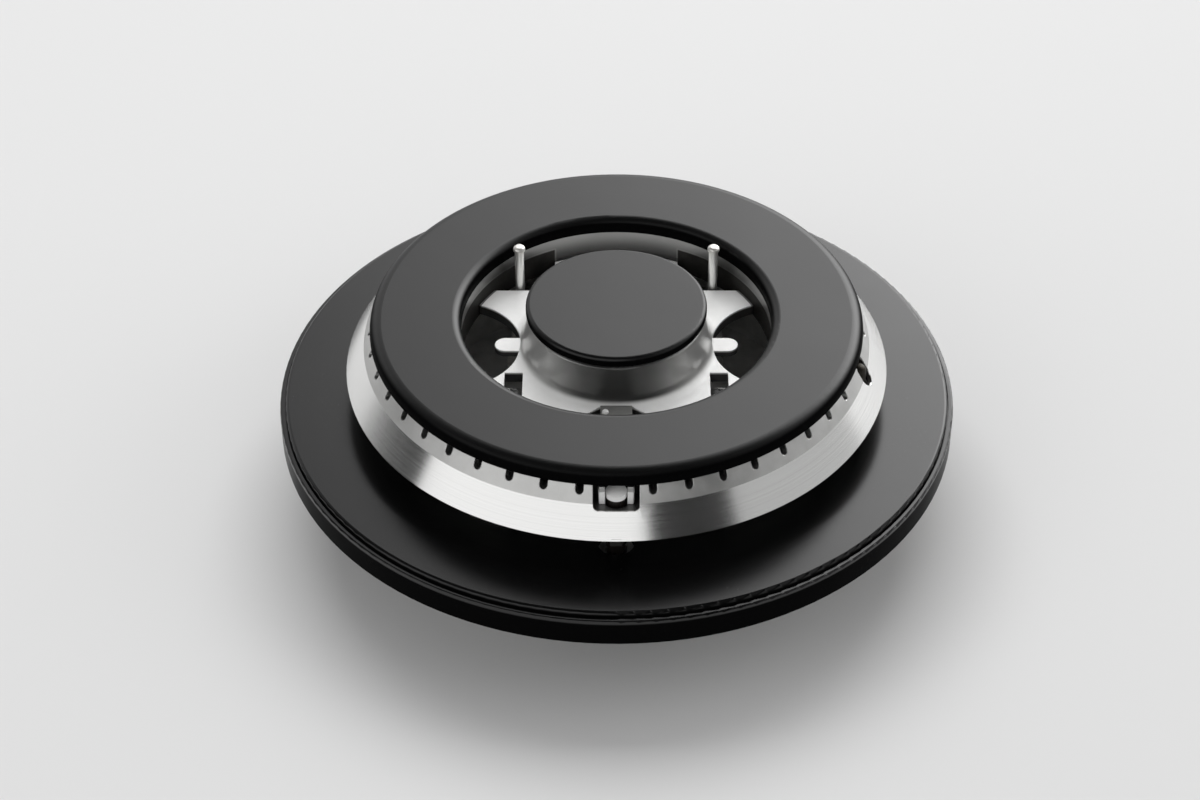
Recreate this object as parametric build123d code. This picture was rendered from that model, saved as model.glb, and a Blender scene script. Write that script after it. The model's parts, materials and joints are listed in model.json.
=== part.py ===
from build123d import *
import os
from math import cos, radians, sin

# Two-ring gas burner of a built-in hob, in millimetres.
# The origin is on the burner's axis, in the plane of the hob's top surface. +Z is up.
# The front of the burner, with the ignition window of the outer flame ring, faces -Y.

# ---------------------------------------------------------------- fits
loose_gap = 0.3            # lift-off pieces, all round
sliding_gap = 0.1          # pieces that drop into a seat and stay there
press_gap = 0.02           # pressed and screwed pieces

# ---------------------------------------------------------------- heights above the hob surface
gasket_thickness = 1.2
gasket_clearance = 1.2     # round the barrel and the studs
cup_flange_thickness = 3.0
plate_underside = 6.7
plate_thickness = 2.2
crown_underside = 18.4
crown_top = 29.1
flange_top = 22.0
drum_top = 32.8
pan_depth = 10.0
cup_depth = 26.5

# ---------------------------------------------------------------- crown casting
crown_top_radius = 64.7
crown_wall = 2.5           # at its top edge
channel_width = 18.0
inner_wall = 3.0
channel_floor = 2.6
band_spread = 2.4          # band's foot outside the crown's top edge
band_height = 4.3
skirt_spread = 5.0         # skirt's edge outside the band's foot
skirt_drop = 1.2           # skirt edge below the crown's underside
skirt_wall = 2.2
web_wall = 2.4
slot_pitch = 8.0           # degrees
slot_width = 2.1
slot_depth = 2.3
rib_height = 2.4
rib_wall = 2.4
window_width = 11.6
window_depth = 5.7         # below the crown's top
window_round = 1.1
window_reach = 2.0         # pocket behind the spark plug's axis
window_lining = 1.4
pocket_wall = 1.3
nib_width = 3.2
nib_height = 1.9
notch_width = 5.8
notch_depth = 6.9
notch_pad = 5.0            # degrees without slots each side of the notch
channel_outer_radius = crown_top_radius - crown_wall
channel_inner_radius = channel_outer_radius - channel_width
channel_middle_radius = (channel_inner_radius + channel_outer_radius) / 2
opening_radius = channel_inner_radius - inner_wall
band_radius = crown_top_radius + band_spread
skirt_radius = band_radius + skirt_spread

# ---------------------------------------------------------------- bridge flange and drum of the crown
flange_thickness = 3.0
scallop_overreach = 2.7     # its centre outside the opening's edge
scallop_clearance = 0.3     # between its edge and the drum
back_bridge_width = 34.0
back_window_inset = 3.2     # inside the opening's edge
pocket_inner_x = 24.6
pocket_outer_x = 29.4
pocket_near_y = -12.0
pocket_far_y = -24.0
tongue_length = 7.2         # out of the drum
tongue_width = 5.6
tongue_thickness = 1.8
drum_radius = 25.2          # at its foot
drum_taper = 1.8           # its top is this much smaller in radius
drum_wall = 3.8            # at its foot
drum_edge_round = 0.6
drum_floor = 2.0           # above the flange's top
flare_radius = 3.4
crossover_width = 8.4
crossover_flare = 3.4       # how much wider it gets each side
crossover_flare_length = 2.2
crossover_stand_off = 1.1   # in front of the drum's wall
crossover_depth = 1.6
bridge_thickness = 2.4
rivet_radius = 0.9
rivet_x = 2.8
rivet_stand_off = 2.8       # the left rivet, from the channel's start
rivet_step = 7.4            # from the left rivet forward to the right one
scallop_x = opening_radius + scallop_overreach
scallop_radius = scallop_x - drum_radius - scallop_clearance
back_window_reach = opening_radius - back_window_inset
tongue_reach = drum_radius + tongue_length
crossover_start_y = -drum_radius - crossover_stand_off
rivet_places = [
    (-rivet_x, crossover_start_y - rivet_stand_off),
    (rivet_x, crossover_start_y - rivet_stand_off - rivet_step),
]

# ---------------------------------------------------------------- black base
plate_edge_round = 1.0
ring_width = 5.5
ring_clearance = 1.0       # round the cup's flange
plate_inset = 1.5          # plate's edge inside the ring's
plate_hole_clearance = 3.0 # round the crown's pillars
ring_ridge_height = 0.8
ring_ridge_round = 0.5
groove_width = 0.3
seal_width = 2.5
seal_thickness = 1.5
plug_hole_radius = 4.6
probe_hole_radius = 4.0

# ---------------------------------------------------------------- cup below the hob
barrel_room = 6.3           # outside the outer probe's axis, for its nut
barrel_wall = 2.5
cup_flange_width = 12.5
pan_floor = 2.5
foot_inset = 6.7           # inside the gas channel's middle
foot_wall = 2.5
pillar_inset = 7.2         # inside the gas channel's outer wall
pillar_wall = 2.5
pillar_span = 32.0         # degrees of arc
pillar_count = 4
stud_spread = 8.5          # outside the barrel
stud_radius = 2.0
stud_shoulder_radius = 2.4
stud_count = 4
stud_length = 12.0         # below the hob surface
stud_head_radius = 3.6
stud_head_height = 1.6

# ---------------------------------------------------------------- pedestal under the drum
pedestal_inset = 2.7        # inside the drum's radius
pedestal_wall = 2.5
pedestal_base_height = 2.5
pedestal_window_width = 13.0
pedestal_window_height = 13.0
pedestal_screw_spread = 2.2 # outside the drum's radius
pedestal_screw_y = 15.0
pedestal_boss_radius = 4.0
pedestal_boss_top = 16.2
screw_head_radius = 2.2
screw_head_height = 1.9
screw_radius = 1.5
screw_length = 9.0

# ---------------------------------------------------------------- caps and flame ring
ring_cap_overhang = 0.5
ring_cap_inner_overhang = 0.2
ring_cap_height = 4.1
ring_cap_crown_width = 3.2
ring_cap_crown_height = 3.0
ring_cap_inner_round = 2.4
ring_cap_skin = 2.1
ring_cap_rib_wall = 1.8
ring_cap_rib_depth = 2.6   # below the crown's top
flame_ring_wall = 3.7
flame_ring_height = 4.0
flame_ring_rise = 0.7      # above the drum's top
flame_ring_slots = 24
flame_ring_slot_width = 1.2
flame_ring_slot_depth = 1.6
hub_cap_overhang = 1.5
hub_cap_height = 2.7
hub_cap_round = 1.1
hub_cap_spigot_depth = 3.5
hub_cap_spigot_wall = 2.0

# ---------------------------------------------------------------- gas path
outer_venturi_radius = 8.0
outer_venturi_throat = 6.0
outer_venturi_drop = 9.0   # below the crown's underside
inner_venturi_radius = 9.0
inner_venturi_throat = 7.0
inner_venturi_drop = 9.0   # below the flange's underside
venturi_collar = 1.6
venturi_collar_height = 1.8
injector_hex = 8.0         # across flats
injector_hex_height = 4.0
injector_nose_radius = 2.6
injector_nose_height = 4.5
injector_thread_radius = 3.0
injector_thread_length = 5.0
inner_jet_radius = 0.45
outer_jet_radius = 0.6
manifold_width = 16.0
manifold_overreach = 6.8    # past the outer venturis' axes
manifold_height = 15.6
manifold_seal_thickness = 0.8
manifold_seal_width = 2.0
gas_bore_radius = 1.9
long_bore_radius = 2.2
inner_gas_drop = 5.3       # below the manifold's top
outer_gas_drop = 10.4
stub_radius = 4.2
stub_thread_radius = 5.0
stub_thread_length = 12.0
outer_stub_x = 12.5
plug_length = 5.0
plug_head_radius = 3.6
plug_head_height = 1.5
ear_x = 22.0
ear_y = 11.5
ear_radius = 5.0
ear_thickness = 4.0
ear_screw_radius = 2.0
ear_screw_length = 6.0
ear_screw_head_radius = 3.5
ear_screw_head_height = 2.2

# ---------------------------------------------------------------- ignition and flame sensing
outer_plug_offset = 1.3     # outside the gas channel
outer_plug_body_radius = 2.7
outer_plug_top = 25.0
outer_plug_head_thickness = 1.4
plug_pin_radius = 0.8
plug_collar_radius = 4.2
plug_collar_height = 3.5
plug_tail = 8.0            # below the pan's floor
plug_terminal_length = 4.0
clip_radius = 5.5
clip_thickness = 0.8
outer_probe_offset = 3.0    # outside the gas channel
outer_probe_angle = 76.0   # degrees from the front, towards +X
probe_radius = 2.0
probe_top = 27.6
probe_sleeve_radius = 3.0
probe_collar_radius = 3.7
probe_collar_height = 3.0
probe_tail = 8.0
probe_contact_radius = 1.6
probe_contact_length = 2.5
nut_hex = 9.0              # across flats
nut_height = 3.2
post_wall_gap = 4.4         # from its axis to the crown's opening
post_angle = 45.7           # degrees from the back
post_edge_gap = 2.0         # from its axis to the flange's back edge
post_radius = 1.25
post_head_radius = 1.65
post_head_length = 1.2
post_head_round = 0.9
post_top = 35.5
post_body_top = 13.0

# ---------------------------------------------------------------- worked-out places
outer_plug_radius = channel_outer_radius + outer_plug_offset
outer_probe_radius = channel_outer_radius + outer_probe_offset
post_circle_radius = opening_radius - post_wall_gap
post_x = post_circle_radius * sin(radians(post_angle))
post_y = post_circle_radius * cos(radians(post_angle))
back_edge_y = post_y - post_edge_gap
pedestal_radius = drum_radius - pedestal_inset
pedestal_screw_x = drum_radius + pedestal_screw_spread
pillar_inner_radius = channel_outer_radius - pillar_inset
plate_hole_radius = pillar_inner_radius + pillar_wall + plate_hole_clearance
barrel_radius = outer_probe_radius + barrel_room
cup_flange_radius = barrel_radius + cup_flange_width
stud_circle_radius = barrel_radius + stud_spread
ring_inner_radius = cup_flange_radius + ring_clearance
ring_radius = ring_inner_radius + ring_width
plate_radius = ring_radius - plate_inset
venturi_x = channel_middle_radius
foot_radius = venturi_x - foot_inset
manifold_half_length = venturi_x + manifold_overreach
stub_reach = manifold_half_length
cup_flange_underside = gasket_thickness
cup_flange_top = gasket_thickness + cup_flange_thickness
pan_top = pan_floor - pan_depth
manifold_top = -pan_depth - manifold_seal_thickness
skirt_edge = crown_underside - skirt_drop
band_foot = crown_top - band_height
flange_underside = flange_top - flange_thickness
drum_inner_radius = drum_radius - drum_wall
drum_top_radius = drum_radius - drum_taper
flame_ring_top = drum_top + flame_ring_rise
flame_ring_foot = flame_ring_top - flame_ring_height
flame_ring_radius = drum_inner_radius + 1.0
ring_cap_top = crown_top + ring_cap_height
outer_stub_z = manifold_top - outer_gas_drop
inner_stub_z = manifold_top - inner_gas_drop
crossover_floor = flange_top - crossover_depth
probe_place = (
    outer_probe_radius * sin(radians(outer_probe_angle)),
    -outer_probe_radius * cos(radians(outer_probe_angle)),
)
outer_plug_place = (0, -outer_plug_radius)


# ---------------------------------------------------------------- shared shapes
def turned(corners, rounds=()):
    """A piece turned about Z from its (radius, height) corners; rounds are (corner index, radius)."""
    section = make_face(Polyline(*corners, close=True))
    for index, radius in rounds:
        corner = Vector(*corners[index])
        nearest = min(section.vertices(), key=lambda vertex: (Vector(*vertex) - corner).length)
        section = fillet(nearest, radius)
    return revolve(Plane.XZ * section, Axis.Z)


def rod(radius, low, high, place=(0, 0)):
    """An upright cylinder from one height to another."""
    return Pos(place[0], place[1], (low + high) / 2) * Cylinder(radius, high - low)


def tube(outer, inner, low, high, place=(0, 0)):
    """An upright tube from one height to another."""
    return rod(outer, low, high, place) - rod(inner, low - 1, high + 1, place)


def block(x_span, y_span, z_span):
    """A box between two limits along each axis."""
    spans = (x_span, y_span, z_span)
    sizes = [high - low for low, high in spans]
    middles = [(low + high) / 2 for low, high in spans]
    return Pos(*middles) * Box(*sizes)


def hexagon(across_flats, low, high, place=(0, 0)):
    """An upright hexagonal bar from one height to another."""
    outline = RegularPolygon(across_flats / 2, 6, major_radius=False)
    return Pos(place[0], place[1], low) * extrude(outline, high - low)


def around(shape, count, first=0.0):
    """Copies of a shape turned evenly about Z, with the first at an angle in degrees."""
    return [Rot(0, 0, first + 360 / count * index) * shape for index in range(count)]


def arc_wall(inner, outer, low, high, span):
    """A stretch of round wall, centred on +X, that spans an angle in degrees."""
    sector = Pos(0, 0, low - 1) * extrude(
        make_face(Polyline((0, 0), *[
            (2 * outer * cos(radians(side * span / 2)), 2 * outer * sin(radians(side * span / 2)))
            for side in (-1, 1)
        ], close=True)), high - low + 2)
    return tube(outer, inner, low, high) & sector


# ---------------------------------------------------------------- black base
def make_base_plate():
    """Enamelled steel disc, with round holes for the crown's pillars, the spark plug and the probe."""
    plate_top = plate_underside + plate_thickness
    plate = turned([
        (plate_hole_radius, plate_underside),
        (plate_radius, plate_underside),
        (plate_radius, plate_top),
        (plate_hole_radius, plate_top),
    ], [(2, plate_edge_round)])
    plate -= rod(plug_hole_radius, plate_underside - 1, plate_top + 1, outer_plug_place)
    plate -= rod(probe_hole_radius, plate_underside - 1, plate_top + 1, probe_place)
    return plate


def make_base_ring():
    """Black ring under the plate's edge; its ridge stands a groove's width outside the plate."""
    ridge_inner = plate_radius + groove_width
    seal_inner = (ring_inner_radius + ring_radius - seal_width) / 2
    return turned([
        (ring_inner_radius, 0),
        (seal_inner, 0),
        (seal_inner, seal_thickness),
        (seal_inner + seal_width, seal_thickness),
        (seal_inner + seal_width, 0),
        (ring_radius, 0),
        (ring_radius, plate_underside + ring_ridge_height),
        (ridge_inner, plate_underside + ring_ridge_height),
        (ridge_inner, plate_underside),
        (ring_inner_radius, plate_underside),
    ], [(6, ring_ridge_round)])


def make_base_seal():
    """Silicone seal in the groove under the base ring."""
    seal_inner = (ring_inner_radius + ring_radius - seal_width) / 2
    return tube(seal_inner + seal_width - sliding_gap, seal_inner + sliding_gap, 0, seal_thickness)


# ---------------------------------------------------------------- cup
def make_burner_cup():
    """Die-cast cup: flange on the hob, barrel through its cut-out, pan, foot and crown pillars."""
    cup = turned([
        (0, -pan_depth),
        (foot_radius - foot_wall, -pan_depth),
        (foot_radius - foot_wall, -cup_depth),
        (foot_radius, -cup_depth),
        (foot_radius, -pan_depth),
        (barrel_radius, -pan_depth),
        (barrel_radius, cup_flange_underside),
        (cup_flange_radius, cup_flange_underside),
        (cup_flange_radius, cup_flange_top),
        (barrel_radius, cup_flange_top),
        (barrel_radius, plate_underside),
        (barrel_radius - barrel_wall, plate_underside),
        (barrel_radius - barrel_wall, pan_top),
        (0, pan_top),
    ])
    pillar = arc_wall(pillar_inner_radius, pillar_inner_radius + pillar_wall, pan_top, crown_underside, pillar_span)
    cup += around(pillar, pillar_count, 180 / pillar_count)
    shoulder = rod(stud_shoulder_radius + press_gap, cup_flange_underside - 1, cup_flange_top + 1,
                   (stud_circle_radius, 0))
    cup -= around(shoulder, stud_count, 180 / stud_count)
    for place in ((0, 0), (venturi_x, 0), (-venturi_x, 0)):
        cup -= rod(injector_thread_radius + press_gap, -pan_depth - 1, pan_top + 1, place)
    for place in (outer_plug_place, (-post_x, post_y)):
        cup -= rod(outer_plug_body_radius + sliding_gap, -pan_depth - 1, pan_top + 1, place)
    for place in (probe_place, (post_x, post_y)):
        cup -= rod(probe_sleeve_radius + sliding_gap, -pan_depth - 1, pan_top + 1, place)
    bar_passage = manifold_width / 2 + loose_gap
    cup -= block((-manifold_half_length, manifold_half_length), (-bar_passage, bar_passage),
                 (-cup_depth - 1, -pan_depth))
    for x in (0, outer_stub_x):
        half_width = stub_thread_radius + loose_gap
        cup -= block((x - half_width, x + half_width), (0, stub_reach), (-cup_depth - 1, -pan_depth))
    for x in (-pedestal_screw_x, pedestal_screw_x):
        cup -= rod(screw_radius + press_gap, -pan_depth - 1, pan_top + 1, (x, -pedestal_screw_y))
    for x in (-ear_x, ear_x):
        for y in (-ear_y, ear_y):
            cup -= rod(ear_screw_radius + press_gap, -pan_depth - 1, pan_top + 1, (x, y))
    return cup


def make_cup_gasket():
    """Flat silicone gasket between the cup's flange and the hob."""
    gasket = tube(cup_flange_radius, barrel_radius + gasket_clearance, 0, gasket_thickness)
    hole = rod(stud_shoulder_radius + gasket_clearance, -1, gasket_thickness + 1, (stud_circle_radius, 0))
    return gasket - around(hole, stud_count, 180 / stud_count)


def make_hob_studs():
    """Headed studs through the cup's flange; nuts below the hob pull the cup down."""
    stud = rod(stud_radius, -stud_length, 0, (stud_circle_radius, 0))
    stud += rod(stud_shoulder_radius, 0, cup_flange_top, (stud_circle_radius, 0))
    stud += rod(stud_head_radius, cup_flange_top, cup_flange_top + stud_head_height, (stud_circle_radius, 0))
    return Compound(children=around(stud, stud_count, 180 / stud_count))


# ---------------------------------------------------------------- pedestal
def make_hub_pedestal():
    """Cast pedestal on the pan's floor: a windowed ring under the drum, with two screw bosses."""
    top = flange_underside - loose_gap
    pedestal = tube(pedestal_radius, pedestal_radius - pedestal_wall, pan_top, top)
    pedestal += tube(pedestal_radius + 2, pedestal_radius - pedestal_wall, pan_top, pan_top + pedestal_base_height)
    for x in (-pedestal_screw_x, pedestal_screw_x):
        side = 1 if x > 0 else -1
        boss_place = (x, -pedestal_screw_y)
        pedestal += rod(pedestal_boss_radius, pan_top, pedestal_boss_top, boss_place)
        rib_x = sorted((x, side * (pedestal_radius - 2 * pedestal_wall)))
        rib = block(rib_x, (-pedestal_screw_y - 1.5, -pedestal_screw_y + 1.5), (pan_top, pedestal_boss_top - 1))
        pedestal += rib - rod(pedestal_radius - pedestal_wall, pan_top - 1, top)
        pedestal -= rod(screw_radius + press_gap, pedestal_boss_top - screw_length, pedestal_boss_top + 1, boss_place)
    window_low = pan_top + pedestal_base_height + 1.5
    window = block((0, 2 * pedestal_radius), (-pedestal_window_width / 2, pedestal_window_width / 2),
                   (window_low, window_low + pedestal_window_height))
    return pedestal - around(window, 4)


def make_pedestal_screws():
    """Round-headed screws in the pedestal's bosses, seen through the pockets of the flange."""
    screws = []
    for x in (-pedestal_screw_x, pedestal_screw_x):
        place = (x, -pedestal_screw_y)
        head = Pos(*place, pedestal_boss_top) * turned([
            (0, 0),
            (screw_head_radius, 0),
            (screw_head_radius, screw_head_height),
            (0, screw_head_height),
        ], [(2, screw_head_height * 0.8)])
        screws.append(head + rod(screw_radius, pedestal_boss_top - screw_length, pedestal_boss_top, place))
    return Compound(children=screws)


# ---------------------------------------------------------------- crown casting
def make_outer_ring():
    """The crown's gas channel with its turned skirt, chamfer band and flame slots."""
    lean = (skirt_radius - band_radius) / (band_foot - skirt_edge)
    lip_inner = skirt_radius - skirt_wall
    web_outer = channel_outer_radius + web_wall
    pocket_top = crown_underside + 0.55 * (band_foot - crown_underside)
    ring = turned([
        (opening_radius, crown_top),
        (channel_inner_radius, crown_top),
        (channel_inner_radius, crown_underside + channel_floor),
        (channel_outer_radius, crown_underside + channel_floor),
        (channel_outer_radius, crown_top),
        (crown_top_radius, crown_top),
        (band_radius, band_foot),
        (skirt_radius, skirt_edge),
        (lip_inner, skirt_edge),
        (lip_inner - lean * (pocket_top - skirt_edge), pocket_top),
        (web_outer, pocket_top),
        (web_outer, crown_underside),
        (opening_radius, crown_underside),
    ])
    rib_outer = pillar_inner_radius - loose_gap
    rib = tube(rib_outer, rib_outer - rib_wall, crown_underside - rib_height, crown_underside)
    clear = outer_venturi_radius + venturi_collar + 1
    ring += rib - block((-rib_outer, rib_outer), (-clear, clear), (crown_underside - rib_height - 1, crown_underside))
    return ring


def make_flame_slots():
    """Round-bottomed slots in the top edge of the outer wall, none at the front window or the notch."""
    reach = band_radius - channel_outer_radius + 4
    slot_foot = crown_top - slot_depth
    middle = slot_foot + slot_width / 2
    upright = block((channel_outer_radius - 2, channel_outer_radius - 2 + reach),
                    (-slot_width / 2, slot_width / 2), (middle, crown_top + 1))
    floor = Pos(channel_outer_radius - 2 + reach / 2, 0, middle) * Rot(0, 90, 0) * Cylinder(slot_width / 2, reach)
    slot = upright + floor
    count = round(360 / slot_pitch)
    angles = [360 / count * index for index in range(1, count)]
    return [Rot(0, 0, angle - 90) * slot for angle in angles if abs(angle - outer_probe_angle) > notch_pad]


def cut_front_window(crown):
    """The ignition window: a pocket in the outer wall with a round chimney for the spark plug."""
    half_width = window_width / 2
    floor = crown_top - window_depth
    back_y = -(outer_plug_radius - window_reach)
    chimney_inner = outer_plug_body_radius + 2 * loose_gap
    lining = half_width + window_lining
    crown += block((-lining, lining), (-channel_outer_radius - 1, back_y + window_lining + 2.5),
                   (crown_underside, crown_top))
    opening = Rectangle(window_width, 2 * window_depth)
    opening = fillet(opening.vertices(), window_round)
    cutter = Pos(0, back_y, floor + window_depth) * Rot(90, 0, 0) * extrude(opening, skirt_radius)
    crown -= cutter
    chimney = rod(chimney_inner + pocket_wall, floor - 0.5, crown_top, outer_plug_place)
    chimney &= block((-half_width, half_width), (-outer_plug_radius - 1.8, back_y + 1), (floor - 0.5, crown_top))
    crown += chimney
    crown -= rod(chimney_inner, skirt_edge - 5, crown_top + 1, outer_plug_place)
    return crown


def cut_probe_notch(crown):
    """The upright notch at the right, in which the outer thermocouple stands."""
    turn = Rot(0, 0, outer_probe_angle - 90)
    bore = probe_radius + 2 * loose_gap
    boss = turn * rod(bore + pocket_wall, crown_underside, crown_top, (outer_probe_radius, 0))
    inside = rod(channel_outer_radius + 1, crown_underside, crown_top)
    crown += boss & inside
    middle = crown_top - notch_depth + notch_width / 2
    notch = block((outer_probe_radius, skirt_radius + 1), (-notch_width / 2, notch_width / 2),
                  (middle, crown_top + 1))
    reach = skirt_radius + 1 - outer_probe_radius
    notch += Pos(outer_probe_radius + reach / 2, 0, middle) * Rot(0, 90, 0) * Cylinder(notch_width / 2, reach)
    notch += rod(bore, skirt_edge - 5, crown_top + 1, (outer_probe_radius, 0))
    return crown - turn * notch


def make_drum():
    """The drum of the inner burner, flared at its foot, with the seat of its flame ring."""
    floor = flange_top + drum_floor
    seat_radius = flame_ring_radius + press_gap
    return turned([
        (0, flange_underside),
        (drum_radius + flare_radius, flange_underside),
        (drum_radius + flare_radius, flange_top),
        (drum_radius, flange_top),
        (drum_top_radius, drum_top),
        (seat_radius, drum_top),
        (seat_radius, flame_ring_foot),
        (drum_inner_radius, flame_ring_foot),
        (drum_inner_radius, floor),
        (0, floor),
    ], [(3, flare_radius), (4, drum_edge_round)])


def make_hub():
    """Drum and flat bridge round it, with round side openings, back windows, pockets and tongues."""
    flange = rod(opening_radius + inner_wall / 2, flange_underside, flange_top) + make_drum()
    low = flange_underside - 1
    high = flange_top + flare_radius + 1
    for side in (-1, 1):
        flange -= rod(scallop_radius, low, high, (side * scallop_x, 0))
        window_x = sorted((side * back_bridge_width / 2, side * back_window_reach))
        flange -= block(window_x, (back_edge_y, opening_radius + 2), (low, high))
        pocket_x = sorted((side * pocket_inner_x, side * pocket_outer_x))
        flange -= block(pocket_x, (pocket_far_y, pocket_near_y), (low, high))
        tongue_middle = tongue_reach - tongue_width / 2
        tongue_x = sorted((side * (drum_radius - 2), side * tongue_middle))
        tongue_low = flange_top - tongue_thickness
        flange += block(tongue_x, (-tongue_width / 2, tongue_width / 2), (tongue_low, flange_top))
        flange += rod(tongue_width / 2, tongue_low, flange_top, (side * tongue_middle, 0))
    return flange & rod(opening_radius + inner_wall / 2, low, drum_top + 1)


def make_crossover_cut():
    """The channel in front of the drum, wider towards the front, that the bridge lies in."""
    half_width = crossover_width / 2
    wide = half_width + crossover_flare
    flared_y = crossover_start_y - crossover_flare_length
    front_y = -opening_radius
    plan = make_face(Polyline(
        (half_width, crossover_start_y),
        (wide, flared_y),
        (wide, front_y),
        (-wide, front_y),
        (-wide, flared_y),
        (-half_width, crossover_start_y),
        close=True))
    return Pos(0, 0, crossover_floor) * extrude(plan, flare_radius + crossover_depth)


def make_crown():
    """The whole crown: outer ring, bridge flange and drum in one casting."""
    crown = make_outer_ring()
    crown -= make_flame_slots()
    crown = cut_front_window(crown)
    crown = cut_probe_notch(crown)
    for side in (-1, 1):
        crown -= rod(outer_venturi_radius + press_gap, crown_underside - 1, crown_underside + channel_floor + 1,
                     (side * venturi_x, 0))
    hub = make_hub()
    hub -= make_crossover_cut()
    hub -= rod(inner_venturi_radius + press_gap, flange_underside - 1, flange_top + drum_floor + 1)
    for place in rivet_places:
        hub -= rod(rivet_radius / 2 + press_gap, flange_underside - 1, flange_top + 1, place)
    nib = block((-nib_width / 2, nib_width / 2), (-skirt_radius + 0.3, -skirt_radius + skirt_wall),
                (skirt_edge - nib_height, skirt_edge + 0.5))
    nib = fillet(nib.edges().filter_by(Axis.Z), 0.5)
    return crown + hub + nib


# ---------------------------------------------------------------- crossover
def make_crossover_bridge():
    """Cast strip in the channel, along which the flame passes between the drum and the outer ring."""
    half_width = crossover_width / 2 - sliding_gap
    bridge_end = -(opening_radius**2 - half_width**2) ** 0.5 + sliding_gap
    bridge = block((-half_width, half_width), (bridge_end, crossover_start_y - sliding_gap),
                   (crossover_floor, crossover_floor + bridge_thickness))
    for place in rivet_places:
        bridge -= rod(rivet_radius / 2 + press_gap, crossover_floor - 1, flange_top + flare_radius, place)
    return bridge


def make_crossover_rivets():
    """Two small rivets that hold the strip to the flange."""
    rivets = []
    bridge_top = crossover_floor + bridge_thickness
    for place in rivet_places:
        rivet = rod(rivet_radius / 2, flange_underside, bridge_top, place)
        head = Pos(*place, bridge_top) * Sphere(rivet_radius)
        rivets.append(rivet + (head & rod(rivet_radius, bridge_top, bridge_top + rivet_radius, place)))
    return Compound(children=rivets)


# ---------------------------------------------------------------- caps and flame ring
def make_ring_cap():
    """Enamelled ring over the gas channel: softly crowned edge, hollow below, centred by a rib."""
    outer = crown_top_radius + ring_cap_overhang
    inner = opening_radius - ring_cap_inner_overhang
    shoulder = ring_cap_top - ring_cap_crown_height
    rib_inner = channel_inner_radius + loose_gap
    rib_outer = rib_inner + ring_cap_rib_wall
    hollow_outer = channel_outer_radius
    hollow_top = ring_cap_top - ring_cap_skin
    crowned = EllipticalCenterArc((outer - ring_cap_crown_width, shoulder), ring_cap_crown_width,
                                  ring_cap_crown_height, start_angle=0, arc_size=90)
    rounded = CenterArc((inner + ring_cap_inner_round, ring_cap_top - ring_cap_inner_round),
                        ring_cap_inner_round, 90, 90)
    rest = Polyline(
        (inner, ring_cap_top - ring_cap_inner_round),
        (inner, crown_top),
        (rib_inner, crown_top),
        (rib_inner, crown_top - ring_cap_rib_depth),
        (rib_outer, crown_top - ring_cap_rib_depth),
        (rib_outer, hollow_top),
        (hollow_outer, hollow_top),
        (hollow_outer, crown_top),
        (outer - 0.4, crown_top),
        (outer, crown_top + 0.5),
        (outer, shoulder),
    )
    flat_top = Line((outer - ring_cap_crown_width, ring_cap_top), (inner + ring_cap_inner_round, ring_cap_top))
    section = make_face([crowned, flat_top, rounded, rest])
    return revolve(Plane.XZ * section, Axis.Z)


def make_hub_flame_ring():
    """Slotted ring in the drum's mouth, from which the inner flame burns."""
    inner = flame_ring_radius - flame_ring_wall
    ring = tube(flame_ring_radius, inner, flame_ring_foot, flame_ring_top)
    half_width = flame_ring_slot_width / 2
    slot = block((inner - 1, flame_ring_radius + 1), (-half_width, half_width),
                 (flame_ring_top - flame_ring_slot_depth, flame_ring_top + 1))
    return ring - around(slot, flame_ring_slots)


def make_hub_cap():
    """Enamelled cap on the flame ring, centred by a round spigot."""
    outer = flame_ring_radius + hub_cap_overhang
    spigot_outer = flame_ring_radius - flame_ring_wall - loose_gap
    spigot_inner = spigot_outer - hub_cap_spigot_wall
    top = flame_ring_top + hub_cap_height
    skin = top - hub_cap_height / 2
    return turned([
        (0, top),
        (outer, top),
        (outer, flame_ring_top),
        (spigot_outer, flame_ring_top),
        (spigot_outer, flame_ring_top - hub_cap_spigot_depth),
        (spigot_inner, flame_ring_top - hub_cap_spigot_depth),
        (spigot_inner, skin),
        (0, skin),
    ], [(1, hub_cap_round), (2, 0.4)])


# ---------------------------------------------------------------- gas path
def make_venturi(radius, throat, low, seat, high, place):
    """A mixing tube with a flared mouth, pressed in up to its collar."""
    shape = turned([
        (radius, low),
        (radius, seat - venturi_collar_height),
        (radius + venturi_collar, seat - venturi_collar_height),
        (radius + venturi_collar, seat),
        (radius, seat),
        (radius, high),
        (throat, high),
        (throat, low + 2 * (radius - throat)),
        (radius - 0.5, low),
    ])
    return Pos(*place, 0) * shape


def make_outer_venturis():
    """Mixing tubes under the gas channel, left and right."""
    low = crown_underside - outer_venturi_drop
    high = crown_underside + channel_floor
    tubes = [
        make_venturi(outer_venturi_radius, outer_venturi_throat, low, crown_underside, high, (side * venturi_x, 0))
        for side in (-1, 1)
    ]
    return Compound(children=tubes)


def make_inner_venturi():
    """Mixing tube under the drum."""
    low = flange_underside - inner_venturi_drop
    high = flange_top + drum_floor
    return make_venturi(inner_venturi_radius, inner_venturi_throat, low, flange_underside, high, (0, 0))


def make_injector(jet_radius, place):
    """Brass jet: threaded tail through the pan's floor, hexagon and tapered nose with its bore."""
    hex_top = pan_top + injector_hex_height
    nose_top = hex_top + injector_nose_height
    nose = Pos(*place, (hex_top + nose_top) / 2) * Cone(injector_hex / 2 - 0.4, injector_nose_radius,
                                                       injector_nose_height)
    tail_end = -pan_depth - manifold_seal_thickness - injector_thread_length
    injector = hexagon(injector_hex, pan_top, hex_top, place) + nose
    injector += rod(injector_thread_radius, tail_end, pan_top, place)
    injector -= rod(gas_bore_radius - 0.7, tail_end - 1, nose_top - 2, place)
    return injector - rod(jet_radius, nose_top - 3, nose_top + 1, place)


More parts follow.
